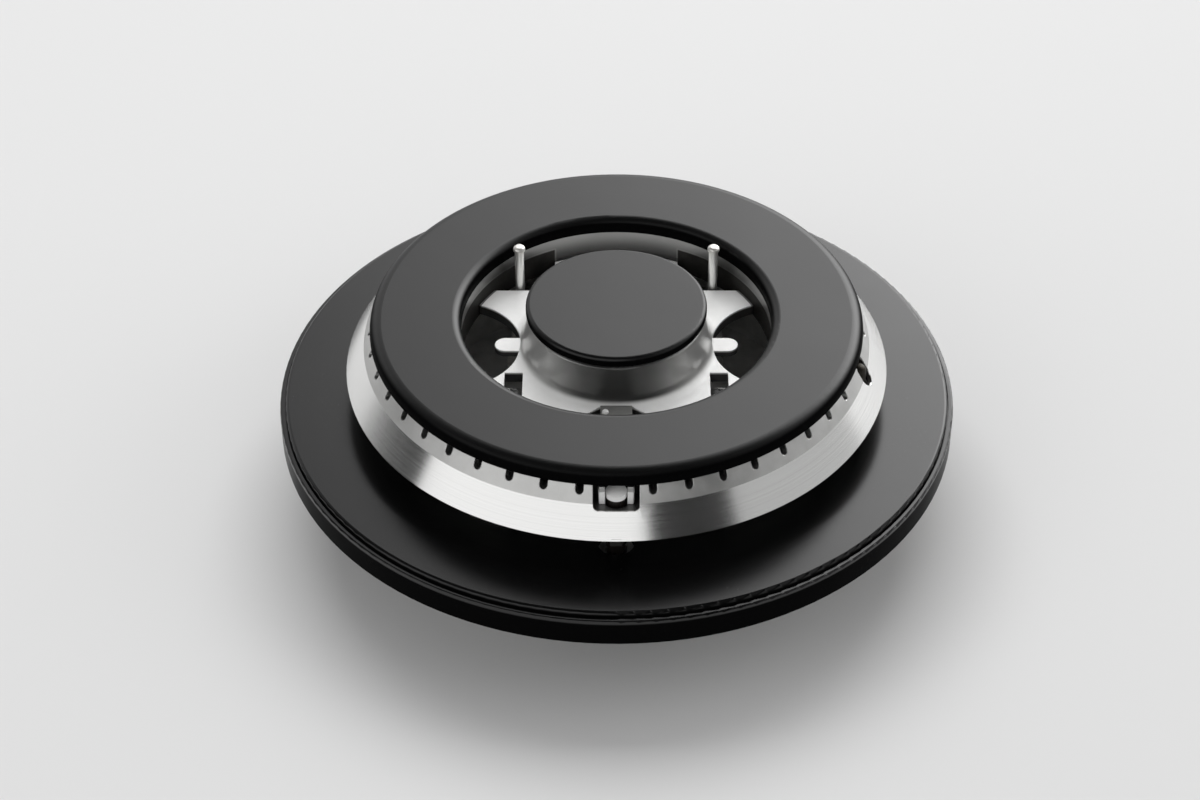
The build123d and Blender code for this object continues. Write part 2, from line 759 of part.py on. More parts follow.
def make_inner_injector():
    """Jet of the inner flame."""
    return make_injector(inner_jet_radius, (0, 0))


def make_outer_injectors():
    """Jets of the outer flame, left and right."""
    return Compound(children=[make_injector(outer_jet_radius, (side * venturi_x, 0)) for side in (-1, 1)])


def make_gas_manifold():
    """Bar under the cup with two separate gas ways, each with its threaded inlet stub at the back."""
    bottom = manifold_top - manifold_height
    half_width = manifold_width / 2
    bar = block((-manifold_half_length, manifold_half_length), (-half_width, half_width), (bottom, manifold_top))
    for x in (-ear_x, ear_x):
        for y in (-ear_y, ear_y):
            ear = rod(ear_radius, manifold_top - ear_thickness, manifold_top, (x, y))
            ear += block((x - ear_radius, x + ear_radius), sorted((0, y)), (manifold_top - ear_thickness, manifold_top))
            bar += ear - rod(ear_screw_radius + press_gap, bottom, manifold_top + 1, (x, y))
    thread_start = stub_reach - stub_thread_length
    for x, z in ((0, inner_stub_z), (outer_stub_x, outer_stub_z)):
        bar += Pos(x, thread_start / 2, z) * Rot(90, 0, 0) * Cylinder(stub_radius, thread_start)
        bar += (Pos(x, thread_start + stub_thread_length / 2, z) * Rot(90, 0, 0)
                * Cylinder(stub_thread_radius, stub_thread_length))
    for x, z in ((0, inner_stub_z), (outer_stub_x, outer_stub_z)):
        bar -= Pos(x, stub_reach / 2, z) * Rot(90, 0, 0) * Cylinder(gas_bore_radius, stub_reach + 1)
    bar -= Pos(0, 0, outer_stub_z) * Rot(0, 90, 0) * Cylinder(long_bore_radius, 2 * manifold_half_length + 1)
    jet_hole = injector_thread_radius + press_gap
    bar -= rod(jet_hole, inner_stub_z - gas_bore_radius / 2, manifold_top + 1)
    for side in (-1, 1):
        bar -= rod(jet_hole, outer_stub_z - long_bore_radius / 2, manifold_top + 1, (side * venturi_x, 0))
    return bar


def make_manifold_seals():
    """Fibre washers between the cup's floor and the manifold, one at each jet."""
    inner = injector_thread_radius + sliding_gap
    low = manifold_top
    return Compound(children=[
        tube(inner + manifold_seal_width, inner, low, -pan_depth, (x, 0)) for x in (-venturi_x, 0, venturi_x)
    ])


def make_manifold_screws():
    """Screws from below, through the manifold's ears into the cup's floor."""
    screws = []
    ear_foot = manifold_top - ear_thickness
    for x in (-ear_x, ear_x):
        for y in (-ear_y, ear_y):
            screw = rod(ear_screw_radius, ear_foot, ear_foot + ear_screw_length + 1, (x, y))
            screws.append(screw + rod(ear_screw_head_radius, ear_foot - ear_screw_head_height, ear_foot, (x, y)))
    return Compound(children=screws)


def make_manifold_plugs():
    """Plugs that close the two ends of the manifold's long bore."""
    plug = Cylinder(long_bore_radius - press_gap, plug_length)
    head = Cylinder(plug_head_radius, plug_head_height)
    plugs = []
    for side in (-1, 1):
        shank_middle = manifold_half_length - plug_length / 2
        head_middle = manifold_half_length + plug_head_height / 2
        turn = Rot(0, 90, 0)
        plugs.append(Pos(side * shank_middle, 0, outer_stub_z) * turn * plug
                     + Pos(side * head_middle, 0, outer_stub_z) * turn * head)
    return Compound(children=plugs)


# ---------------------------------------------------------------- ignition
def make_insulator(top, place):
    """Ceramic body of a spark plug, held by its collar on the pan's floor."""
    body = rod(outer_plug_body_radius, -pan_depth - plug_tail, top, place)
    body += rod(plug_collar_radius, pan_top, pan_top + plug_collar_height, place)
    return body - rod(plug_pin_radius + press_gap, -pan_depth - plug_tail - 1, top + 1, place)


def make_outer_spark_insulator():
    """Ceramic body in the chimney of the front window."""
    return make_insulator(outer_plug_top, outer_plug_place)


def make_outer_spark_electrode():
    """Pin through the ceramic, with a flat head below the ring cap's edge."""
    low = -pan_depth - plug_tail - plug_terminal_length
    pin = rod(plug_pin_radius, low, outer_plug_top, outer_plug_place)
    head_top = outer_plug_top + outer_plug_head_thickness
    return pin + rod(outer_plug_body_radius, outer_plug_top, head_top, outer_plug_place)


def make_inner_spark_insulator():
    """Ceramic body under the left post."""
    return make_insulator(post_body_top, (-post_x, post_y))


def make_post(place, low):
    """A thin upright rod with a domed head."""
    neck = post_top - post_head_length
    post = rod(post_radius, post_body_top, neck, place)
    head = Pos(*place, 0) * turned([
        (0, neck),
        (post_head_radius, neck),
        (post_head_radius, post_top),
        (0, post_top),
    ], [(2, post_head_round)])
    return post + head + rod(plug_pin_radius, low, post_body_top, place)


def make_inner_spark_electrode():
    """Left post behind the drum, which lights the inner flame."""
    return make_post((-post_x, post_y), -pan_depth - plug_tail - plug_terminal_length)


def make_spark_clips():
    """Push-on spring washers under the pan's floor that hold the two ceramic bodies."""
    low = -pan_depth - clip_thickness
    hole = outer_plug_body_radius + press_gap
    return Compound(children=[
        tube(clip_radius, hole, low, -pan_depth, place) for place in (outer_plug_place, (-post_x, post_y))
    ])


# ---------------------------------------------------------------- flame sensing
def make_probe_body(place, top):
    """Sleeve of a thermocouple: collar on the pan's floor, thread below it and contact at its end."""
    body = rod(probe_sleeve_radius, -pan_depth - probe_tail, top, place)
    body += rod(probe_collar_radius, pan_top, pan_top + probe_collar_height, place)
    end = -pan_depth - probe_tail
    return body + rod(probe_contact_radius, end - probe_contact_length, end, place)


def make_outer_thermocouple():
    """Probe that stands in the crown's notch and feels the outer flame."""
    sleeve_top = pan_top + probe_collar_height + 4
    tip = Pos(*probe_place, 0) * turned([
        (0, sleeve_top),
        (probe_radius, sleeve_top),
        (probe_radius, probe_top),
        (0, probe_top),
    ], [(2, probe_radius * 0.8)])
    return make_probe_body(probe_place, sleeve_top) + tip


def make_inner_thermocouple():
    """Right post behind the drum, which feels the inner flame."""
    place = (post_x, post_y)
    return make_probe_body(place, post_body_top) + make_post(place, post_body_top - 1)


def make_thermocouple_nuts():
    """Hexagon nuts that pull the two thermocouple sleeves down on the pan's floor."""
    nuts = []
    for place in (probe_place, (post_x, post_y)):
        nut = hexagon(nut_hex, -pan_depth - nut_height, -pan_depth, place)
        nuts.append(nut - rod(probe_sleeve_radius + press_gap, -pan_depth - nut_height - 1, -pan_depth + 1, place))
    return Compound(children=nuts)


# ---------------------------------------------------------------- nodes
pieces = {
    "base_plate": make_base_plate,
    "base_ring": make_base_ring,
    "base_seal": make_base_seal,
    "burner_cup": make_burner_cup,
    "cup_gasket": make_cup_gasket,
    "hob_studs": make_hob_studs,
    "hub_pedestal": make_hub_pedestal,
    "pedestal_screws": make_pedestal_screws,
    "inner_injector": make_inner_injector,
    "outer_injectors": make_outer_injectors,
    "gas_manifold": make_gas_manifold,
    "manifold_seals": make_manifold_seals,
    "manifold_screws": make_manifold_screws,
    "manifold_plugs": make_manifold_plugs,
    "outer_spark_insulator": make_outer_spark_insulator,
    "outer_spark_electrode": make_outer_spark_electrode,
    "inner_spark_insulator": make_inner_spark_insulator,
    "inner_spark_electrode": make_inner_spark_electrode,
    "spark_clips": make_spark_clips,
    "outer_thermocouple": make_outer_thermocouple,
    "inner_thermocouple": make_inner_thermocouple,
    "thermocouple_nuts": make_thermocouple_nuts,
    "crown": make_crown,
    "outer_venturis": make_outer_venturis,
    "inner_venturi": make_inner_venturi,
    "crossover_bridge": make_crossover_bridge,
    "crossover_rivets": make_crossover_rivets,
    "hub_flame_ring": make_hub_flame_ring,
    "ring_cap": make_ring_cap,
    "hub_cap": make_hub_cap,
}

os.makedirs("parts", exist_ok=True)
for name, make in pieces.items():
    export_step(make(), f"parts/{name}.step")
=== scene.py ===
import json
from math import cos, pi, radians, sin

import bpy
from mathutils import Matrix, Vector

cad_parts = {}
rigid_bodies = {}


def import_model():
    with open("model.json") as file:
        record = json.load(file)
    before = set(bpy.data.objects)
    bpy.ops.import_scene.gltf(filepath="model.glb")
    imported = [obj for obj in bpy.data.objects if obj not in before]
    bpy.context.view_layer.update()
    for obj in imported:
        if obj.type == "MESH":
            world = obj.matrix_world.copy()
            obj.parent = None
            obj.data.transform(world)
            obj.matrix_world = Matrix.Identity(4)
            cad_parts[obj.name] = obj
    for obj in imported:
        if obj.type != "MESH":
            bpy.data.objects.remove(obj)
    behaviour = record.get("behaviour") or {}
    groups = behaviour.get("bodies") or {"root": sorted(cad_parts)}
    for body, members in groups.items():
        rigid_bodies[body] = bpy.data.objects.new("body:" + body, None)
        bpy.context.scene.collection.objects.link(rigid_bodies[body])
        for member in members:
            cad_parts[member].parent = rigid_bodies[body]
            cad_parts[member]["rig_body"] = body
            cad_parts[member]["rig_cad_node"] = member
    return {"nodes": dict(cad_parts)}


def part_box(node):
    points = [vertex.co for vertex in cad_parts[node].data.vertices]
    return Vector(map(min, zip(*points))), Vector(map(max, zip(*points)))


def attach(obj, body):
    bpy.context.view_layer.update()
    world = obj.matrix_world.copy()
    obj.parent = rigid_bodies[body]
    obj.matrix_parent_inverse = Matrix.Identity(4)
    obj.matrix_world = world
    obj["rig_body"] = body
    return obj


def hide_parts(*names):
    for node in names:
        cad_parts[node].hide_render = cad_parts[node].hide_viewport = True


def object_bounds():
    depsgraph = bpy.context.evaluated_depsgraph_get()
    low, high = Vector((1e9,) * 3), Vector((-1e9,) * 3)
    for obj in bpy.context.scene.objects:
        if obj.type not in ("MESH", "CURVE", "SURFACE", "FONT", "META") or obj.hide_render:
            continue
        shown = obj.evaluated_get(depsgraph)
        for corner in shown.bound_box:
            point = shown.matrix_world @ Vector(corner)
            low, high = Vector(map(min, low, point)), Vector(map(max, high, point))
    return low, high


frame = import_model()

cad_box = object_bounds()
bpy.ops.object.select_all(action="DESELECT")
bpy.context.scene.view_settings.view_transform = "Standard"


# ---------------------------------------------------------------- Camera
# Stands in front of the burner and looks down on it, as in the photograph. The middle of the ring
# cap falls a little right of the picture's middle and above it.
eye_distance = 0.700
eye_pitch = radians(37.86)
picture_width, picture_height = 1200, 800
picture_focus = 2648
ring_middle = Vector((0, 0, 0.0325))
ring_middle_across, ring_middle_down = 616.3, 313.4

eye = ring_middle + eye_distance * Vector((0, -cos(eye_pitch), sin(eye_pitch)))
toward_ring = (ring_middle - eye).normalized()
off_axis = Vector((ring_middle_across - picture_width / 2, picture_height / 2 - ring_middle_down,
                   -picture_focus)).normalized()
level_right = Vector((1, 0, 0))
view_up = level_right.cross(toward_ring)
aimed = Matrix((level_right, view_up, -toward_ring)).transposed()
lens_turn = off_axis.rotation_difference(Vector((0, 0, -1))).to_matrix()
bpy.ops.object.camera_add(location=eye)
camera = bpy.context.object
camera.name = "front_camera"
camera.rotation_euler = (aimed @ lens_turn).to_euler()
camera.data.sensor_width = 36.0
camera.data.lens = picture_focus * camera.data.sensor_width / picture_width
camera.data.clip_start = 0.01
camera.data.clip_end = 60.0
bpy.context.scene.camera = camera


# ---------------------------------------------------------------- Floor
# A wide pale studio table, matt, a hair below the foot of the cup that stands on it. It isn't part of
# the object. The first material is here, so the small kit that wires materials is too.
class Signal:
    """A number or a colour on its way through a material. Arithmetic on it adds Math nodes."""

    def __init__(self, wiring, socket):
        self.wiring = wiring
        self.socket = socket

    def math(self, operation, *values):
        return self.wiring.node("ShaderNodeMath", {"operation": operation}, dict(enumerate(values)))

    def __add__(self, other):
        return self.math("ADD", self, other)

    def __radd__(self, other):
        return self.math("ADD", other, self)

    def __sub__(self, other):
        return self.math("SUBTRACT", self, other)

    def __rsub__(self, other):
        return self.math("SUBTRACT", other, self)

    def __mul__(self, other):
        return self.math("MULTIPLY", self, other)

    def __rmul__(self, other):
        return self.math("MULTIPLY", other, self)

    def __pow__(self, other):
        return self.math("POWER", self, other)

    def __abs__(self):
        return self.math("ABSOLUTE", self)


class Wiring:
    """The nodes of a material or of the room."""

    def __init__(self, owner):
        owner.use_nodes = True
        self.nodes = owner.node_tree.nodes
        self.links = owner.node_tree.links

    def node(self, kind, settings, inputs, output=0):
        """Adds one node: its settings first, then the values or links of its sockets."""
        made = self.nodes.new(kind)
        for setting, value in settings.items():
            setattr(made, setting, value)
        for socket, value in inputs.items():
            if isinstance(value, Signal):
                self.links.new(value.socket, made.inputs[socket])
            else:
                made.inputs[socket].default_value = value
        return Signal(self, made.outputs[output])

    def axes(self, place):
        """The x, y and z of a place or of a direction."""
        split = self.node("ShaderNodeSeparateXYZ", {}, {0: place}).socket.node
        return [Signal(self, socket) for socket in split.outputs]

    def between(self, value, low, high):
        """0 at low, 1 at high, smooth in between; low may be the larger."""
        return self.node("ShaderNodeMapRange", {"interpolation_type": "SMOOTHSTEP"}, {
            "Value": value, "From Min": low, "From Max": high})


class Finish(Wiring):
    """A material for one surface. Named sockets of its shader are set here and stay constant."""

    def __init__(self, name, **sockets):
        self.material = bpy.data.materials.new(name)
        super().__init__(self.material)
        self.shader = self.nodes["Principled BSDF"]
        self.place = self.node("ShaderNodeTexCoord", {}, {}, output=3)
        self.x, self.y, self.z = self.axes(self.place)
        for socket, value in sockets.items():
            self.shader.inputs[socket.replace("_", " ")].default_value = value

    def noise(self, grain, detail=2.0, roughness=0.5):
        """Soft random grain, about one grain per given length in metres; from 0 to 1."""
        return self.node("ShaderNodeTexNoise", {}, {
            "Vector": self.place, "Scale": 1 / grain, "Detail": detail, "Roughness": roughness})

    def blend(self, mask, first, second):
        """The first colour where the mask is 0, the second where it is 1."""
        first, second = [(*colour, 1) for colour in (first, second)]
        return self.node("ShaderNodeMix", {"data_type": "RGBA"}, {0: mask, 6: first, 7: second}, output=2)

    def bump(self, height, depth, under=None):
        """A Bump node's normal; depth is in metres for a height of 1."""
        inputs = {"Height": height, "Distance": depth}
        if under is not None:
            inputs["Normal"] = under
        return self.node("ShaderNodeBump", {}, inputs)

    def link(self, **signals):
        for socket, signal in signals.items():
            self.links.new(signal.socket, self.shader.inputs[socket.replace("_", " ")])

    def overlay(self, mask, **sockets):
        """Covers the surface with a further shader where the mask is 1."""
        output = self.nodes["Material Output"].inputs["Surface"]
        under = Signal(self, output.links[0].from_socket)
        over = self.node("ShaderNodeBsdfPrincipled", {}, {
            socket.replace("_", " "): value for socket, value in sockets.items()})
        mixed = self.node("ShaderNodeMixShader", {}, {0: mask, 1: under, 2: over})
        self.links.new(mixed.socket, output)


def tinted(colour, amount):
    """A colour made lighter or darker by a factor."""
    return [channel * amount for channel in colour]


floor_radius, floor_drop = 12, 0.00003
floor_grey = (0.74, 0.74, 0.74)
bpy.ops.mesh.primitive_circle_add(vertices=64, radius=floor_radius, fill_type="NGON",
                                  location=(0, 0, cad_box[0][2] - floor_drop))
floor = bpy.context.object
floor.name = "studio_floor"
floor_finish = Finish("floor_paint", Roughness=0.9, Specular_IOR_Level=0.1)
floor_finish.link(Base_Color=floor_finish.blend(
    floor_finish.noise(0.35, detail=3.0), floor_grey, tinted(floor_grey, 1.03)))
floor.data.materials.append(floor_finish.material)


# ---------------------------------------------------------------- Studio light
# Diffuse light comes from an even pale room and from soft boxes above and behind, at the left front
# and at the right. Metal mirrors the same room's bright panels at the left, at the right and behind,
# with dark gaps between them and a dark ceiling.
world = bpy.data.worlds.new("pale_room")
bpy.context.scene.world = world
room = Wiring(world)
way_x, way_y, way_z = room.axes(room.node("ShaderNodeTexCoord", {}, {}))
turn_deg = way_x.math("ARCTAN2", way_x, 0 - way_y) * (180 / pi)
back_turn_deg = way_x.math("ARCTAN2", way_x, way_y) * (180 / pi)
rise_deg = way_z.math("ARCSINE", way_z) * (180 / pi)


def panel(turns, rises, side_soft, brightness):
    """A bright panel of the room, from and to the given turns from the front and rises, in degrees."""
    foot_soft, head_soft = 6, 10
    left = room.between(turn_deg, turns[0], turns[0] + side_soft)
    right = room.between(turn_deg, turns[1], turns[1] - side_soft)
    foot = room.between(rise_deg, rises[0], rises[0] + foot_soft)
    head = room.between(rise_deg, rises[1], rises[1] - head_soft)
    return left * right * (foot * head) * brightness


# The panel behind is dim at its left and bright at its right. Its upper part gives the black enamel
# its grey sheen.
back_dim, back_brighter = 0.40, 4.0
back_across = ((back_dim + back_brighter * room.between(back_turn_deg, -14, 15))
               * room.between(abs(back_turn_deg), 75, 45))
back_upright = 0.4 * room.between(rise_deg, 0, 6) + 0.6 * room.between(rise_deg, 10, 26)
back_panel = back_across * back_upright * room.between(rise_deg, 55, 43)
left_front_panel = panel((-81, 13), (-4, 46), side_soft=2, brightness=1.0)
left_back_panel = panel((-178, -113), (-4, 40), side_soft=6, brightness=0.5)
right_panel = panel((45, 160), (-4, 46), side_soft=3, brightness=0.45)
right_back_panel = panel((104, 170), (-4, 46), side_soft=8, brightness=0.6)
dark_gaps = 0.02
mirrored = dark_gaps + back_panel + left_front_panel + left_back_panel + right_panel + right_back_panel

diffuse_room, plain_background = 0.45, 0.85
light_paths = room.node("ShaderNodeLightPath", {}, {}).socket.node
camera_ray = Signal(room, light_paths.outputs["Is Camera Ray"])
glossy_ray = Signal(room, light_paths.outputs["Is Glossy Ray"])
unseen = 1 - camera_ray
strength = (diffuse_room * unseen * (1 - glossy_ray) + plain_background * camera_ray
            + mirrored * glossy_ray * unseen)
room.links.new(strength.socket, room.nodes["Background"].inputs["Strength"])
room.nodes["Background"].inputs["Color"].default_value = (1, 1, 1, 1)


def soft_box(name, azimuth, elevation, distance, width, height, brightness):
    """An area lamp that faces the burner; brightness is what a mirror would show."""
    turn, rise = radians(azimuth), radians(elevation)
    toward_lamp = Vector((sin(turn) * cos(rise), -cos(turn) * cos(rise), sin(rise)))
    bpy.ops.object.light_add(type="AREA", location=toward_lamp * distance)
    lamp = bpy.context.object
    lamp.name = name
    lamp.rotation_euler = toward_lamp.to_track_quat("Z", "Y").to_euler()
    lamp.data.shape = "RECTANGLE"
    lamp.data.size = width
    lamp.data.size_y = height
    lamp.data.energy = brightness * pi * width * height
    lamp.visible_glossy = False


soft_box("top_back_soft_box", 180, 60, 1.3, 1.4, 0.9, 3.0)
soft_box("left_front_soft_box", -50, 30, 1.2, 1.0, 0.6, 1.0)
soft_box("right_soft_box", 85, 30, 1.2, 1.0, 0.6, 1.0)


# ---------------------------------------------------------------- Burner cup
# One aluminium die casting that goes through the hob's cut-out. Its skin is as it leaves the die:
# light grey, a little mottled, and fine-grained to the touch.
def dress(finish, *names):
    """Gives a finish to pieces that come from the construction model as they are."""
    for name in names:
        frame["nodes"][name].material_slots[0].material = finish.material


def cast_skin(name, colour, grain, roughness):
    """Aluminium as cast: mottled by the die, with a fine pitted grain."""
    mottling, pit_depth, edge_round = 0.16, 0.00009, 0.0002
    finish = Finish(name, Metallic=0.6, IOR=1.3)
    cloud = finish.between(finish.noise(0.014, detail=4.0, roughness=0.6), 0.3, 0.7)
    pits = finish.noise(grain, detail=3.0, roughness=0.65)
    rounded = finish.node("ShaderNodeBevel", {"samples": 4}, {"Radius": edge_round})
    finish.link(
        Base_Color=finish.blend(cloud, tinted(colour, 1 - mottling), tinted(colour, 1 + mottling)),
        Roughness=roughness + 0.10 * cloud + 0.22 * (pits - 0.5),
        Normal=finish.bump(pits, pit_depth, rounded))
    return finish


dress(cast_skin("cup_casting", (0.64, 0.64, 0.63), 0.0007, 0.42), "burner_cup")


# ---------------------------------------------------------------- Seals
# Moulded grey-black silicone, a little dusty: the flat gasket under the cup's flange, which the studs
# clamp to the hob, and the round seal in the groove under the base ring.
seal_finish = Finish("seal_silicone", Sheen_Weight=0.15, IOR=1.41)
seal_dust = seal_finish.between(seal_finish.noise(0.0004, detail=4.0, roughness=0.7), 0.45, 0.75)
seal_finish.link(
    Base_Color=seal_finish.blend(seal_dust, (0.022, 0.022, 0.023), (0.05, 0.05, 0.05)),
    Roughness=0.5 + 0.18 * seal_dust,
    Normal=seal_finish.bump(seal_dust, 0.00003))
dress(seal_finish, "cup_gasket", "base_seal")


# ---------------------------------------------------------------- Studs and screws
# Zinc-plated steel: four studs with rolled M4 threads below the hob, the pedestal's two round-headed
# screws and the manifold's four. Each head has a cross recess for a screwdriver.
def copy_of(name, body):
    """A merged copy of a construction piece, which stands for it."""
    source = frame["nodes"][name]
    piece = source.copy()
    piece.data = source.data.copy()
    piece.name = name + "_made"
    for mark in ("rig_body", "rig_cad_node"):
        del piece[mark]
    piece.parent = None
    bpy.context.collection.objects.link(piece)
    work_on(piece)
    bpy.ops.object.mode_set(mode="EDIT")
    bpy.ops.mesh.select_all(action="SELECT")
    bpy.ops.mesh.remove_doubles(threshold=0.000005)
    bpy.ops.object.mode_set(mode="OBJECT")
    bpy.ops.mesh.customdata_custom_splitnormals_clear()
    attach(piece, body)
    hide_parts(name)
    return piece


def work_on(piece):
    """Makes one object the only one selected, and the active one."""
    bpy.ops.object.select_all(action="DESELECT")
    piece.select_set(True)
    bpy.context.view_layer.objects.active = piece


def select_where(piece, test):
    """Goes into edit mode with the vertices selected whose place passes the test."""
    work_on(piece)
    bpy.ops.object.mode_set(mode="EDIT")
    bpy.ops.mesh.select_mode(type="VERT")
    bpy.ops.mesh.select_all(action="DESELECT")
    bpy.ops.object.mode_set(mode="OBJECT")
    for vertex in piece.data.vertices:
        vertex.select = test(vertex.co)
    bpy.ops.object.mode_set(mode="EDIT")


def settle(piece):
    """Puts a finished object's place into its mesh, faces outwards, smooth but for real edges."""
    work_on(piece)
    bpy.ops.object.transform_apply(location=True, rotation=True, scale=True)
    bpy.ops.object.mode_set(mode="EDIT")
    bpy.ops.mesh.select_all(action="SELECT")
    bpy.ops.mesh.normals_make_consistent(inside=False)
    bpy.ops.object.mode_set(mode="OBJECT")
    bpy.ops.object.shade_smooth_by_angle(angle=radians(35))


def thread(name, outer_radius, pitch, length, start, turn, steps):
    """A 60 degree screw thread: a triangle swept round and along, from a start, turned from +Z."""
    reach = pitch / 3 ** 0.5
    bpy.ops.mesh.primitive_circle_add(vertices=3, radius=reach, location=(0, 0, 0))
    piece = bpy.context.object
    piece.name = name
    bpy.ops.object.mode_set(mode="EDIT")
    bpy.ops.mesh.select_all(action="SELECT")
    bpy.ops.transform.rotate(value=radians(90), orient_axis="X", center_override=(0, 0, 0))
    bpy.ops.transform.rotate(value=radians(-90), orient_axis="Y", center_override=(0, 0, 0))
    bpy.ops.transform.translate(value=(outer_radius - reach, 0, 0))
    bpy.ops.object.mode_set(mode="OBJECT")
    sweep = piece.modifiers.new("sweep", "SCREW")
    sweep.axis = "Z"
    sweep.screw_offset = pitch
    sweep.iterations = int(length / pitch)
    sweep.steps = steps
    sweep.render_steps = steps
    bpy.ops.object.modifier_apply(modifier="sweep")
    bpy.ops.object.mode_set(mode="EDIT")
    bpy.ops.mesh.select_all(action="SELECT")
    bpy.ops.mesh.remove_doubles(threshold=0.000001)
    bpy.ops.mesh.fill_holes(sides=3)
    bpy.ops.object.mode_set(mode="OBJECT")
    piece.rotation_euler = turn
    piece.location = start
    settle(piece)
    return piece


def cut_cross(piece, place, face_height, reach, depth):
    """Cuts a cross recess into a screw's head, by blades that go as deep as depth past its face."""
    blade_share, driver_turn = 0.38, 20
    for turn in (0, 90):
        bpy.ops.mesh.primitive_cube_add(size=1, location=(*place, face_height))
        blade = bpy.context.object
        blade.scale = (reach * 2, reach * blade_share, depth * 2)
        blade.rotation_euler = (0, 0, radians(turn + driver_turn))
        bpy.ops.object.transform_apply(location=True, rotation=True, scale=True)
        work_on(piece)
        cutter = piece.modifiers.new("recess", "BOOLEAN")
        cutter.operation = "DIFFERENCE"
        cutter.solver = "EXACT"
        cutter.object = blade
        bpy.ops.object.modifier_apply(modifier="recess")
        bpy.data.objects.remove(blade)


zinc_finish = Finish("zinc_plate", Metallic=0.8)
zinc_bloom = zinc_finish.between(zinc_finish.noise(0.0022, detail=4.0, roughness=0.6), 0.35, 0.7)
zinc_grain = zinc_finish.noise(0.00025)
zinc_finish.link(
    Base_Color=zinc_finish.blend(zinc_bloom, (0.62, 0.62, 0.64), (0.78, 0.78, 0.77)),
    Roughness=0.28 + 0.16 * zinc_bloom,
    Normal=zinc_finish.bump(zinc_grain, 0.00001))

# Between the threads' crests a stud is thinner, so its own skin is drawn in to the core.
stud_circle, stud_radius, stud_pitch, stud_length = 0.080, 0.002, 0.0007, 0.012
stud_core_share, slack = 0.74, 0.0001
stud_turns = [radians(turn) for turn in (45, 135, 225, 315)]
stud_places = [(stud_circle * cos(turn), stud_circle * sin(turn)) for turn in stud_turns]
studs = copy_of("hob_studs", "burner_base")
for place in stud_places:
    select_where(studs, lambda v: v.z < slack and (v.xy - Vector(place)).length < stud_radius + slack)
    bpy.ops.transform.resize(value=(stud_core_share, stud_core_share, 1), center_override=(*place, 0))
    bpy.ops.object.mode_set(mode="OBJECT")
settle(studs)
studs.data.materials[0] = zinc_finish.material
for number, place in enumerate(stud_places, start=1):
    stud_thread = thread(f"stud_thread_{number}", stud_radius, stud_pitch, stud_length,
                         start=(*place, -stud_length), turn=(0, 0, 0), steps=16)
    stud_thread.data.materials.append(zinc_finish.material)
    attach(stud_thread, "burner_base")

pedestal_screw_x, pedestal_screw_y, pedestal_screw_top = 0.0274, -0.015, 0.0181
manifold_screw_x, manifold_screw_y, manifold_screw_face = 0.022, 0.0115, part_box("manifold_screws")[0][2]
pedestal_screws = copy_of("pedestal_screws", "burner_base")
for x in (-pedestal_screw_x, pedestal_screw_x):
    cut_cross(pedestal_screws, (x, pedestal_screw_y), pedestal_screw_top, reach=0.0012, depth=0.0011)
manifold_screws = copy_of("manifold_screws", "burner_base")
for x in (-manifold_screw_x, manifold_screw_x):
    for y in (-manifold_screw_y, manifold_screw_y):
        cut_cross(manifold_screws, (x, y), manifold_screw_face, reach=0.002, depth=0.0012)
for screws in (pedestal_screws, manifold_screws):
    settle(screws)
    screws.data.materials[0] = zinc_finish.material


# ---------------------------------------------------------------- Spring washers of the insulators
# Round push-on washers, stamped from spring steel and blued. They grip the two insulators where these
# pass the pan's floor.
clip_finish = Finish("blued_spring_steel", Metallic=1.0, Coat_Weight=0.1)
clip_cloud = clip_finish.between(clip_finish.noise(0.003, detail=4.0), 0.3, 0.7)
clip_finish.link(
    Base_Color=clip_finish.blend(clip_cloud, (0.11, 0.12, 0.15), (0.24, 0.24, 0.25)),
    Roughness=0.3 + 0.15 * clip_cloud,
    Normal=clip_finish.bump(clip_finish.noise(0.0003), 0.00001))
dress(clip_finish, "spark_clips")


# ---------------------------------------------------------------- Pedestal
# An aluminium casting under the drum, screwed to the pan's floor, with a rougher and darker skin than
# the cup's.
dress(cast_skin("pedestal_casting", (0.42, 0.42, 0.41), 0.0006, 0.46), "hub_pedestal")


# ---------------------------------------------------------------- Gas manifold
# Aluminium die casting below the pan, with two inlets turned to M10 threads for the pipes' union nuts.
# Red fibre washers seal it at its top.
manifold_finish = cast_skin("manifold_casting", (0.55, 0.55, 0.54), 0.0006, 0.38)
manifold = copy_of("gas_manifold", "burner_base")
inlet_radius, inlet_pitch, inlet_thread_length, inlet_end = 0.005, 0.001, 0.012, 0.060
inlet_core_share, inlet_plain_end = 0.86, 0.0004
for name, x, z in (("inner_gas_thread", 0, -0.0161), ("outer_gas_thread", 0.0125, -0.0212)):
    select_where(manifold, lambda v: v.y > inlet_end - inlet_thread_length - slack
                 and abs((v.xz - Vector((x, z))).length - inlet_radius) < 2 * slack)
    bpy.ops.transform.resize(value=(inlet_core_share, 1, inlet_core_share), center_override=(x, 0, z))
    bpy.ops.object.mode_set(mode="OBJECT")
    inlet_thread = thread(name, inlet_radius, inlet_pitch, inlet_thread_length - inlet_plain_end - slack,
                          start=(x, inlet_end - inlet_plain_end, z), turn=(radians(90), 0, 0), steps=32)
    inlet_thread.data.materials.append(manifold_finish.material)
    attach(inlet_thread, "burner_base")
settle(manifold)
manifold.data.materials[0] = manifold_finish.material

fibre_finish = Finish("red_fibre", IOR=1.45)
fibre_strands = fibre_finish.between(fibre_finish.noise(0.0003, detail=4.0, roughness=0.7), 0.35, 0.7)
fibre_finish.link(
    Base_Color=fibre_finish.blend(fibre_strands, (0.25, 0.06, 0.04), (0.42, 0.14, 0.09)),
    Roughness=0.75 + 0.15 * fibre_strands,
    Normal=fibre_finish.bump(fibre_strands, 0.00004))
dress(fibre_finish, "manifold_seals")


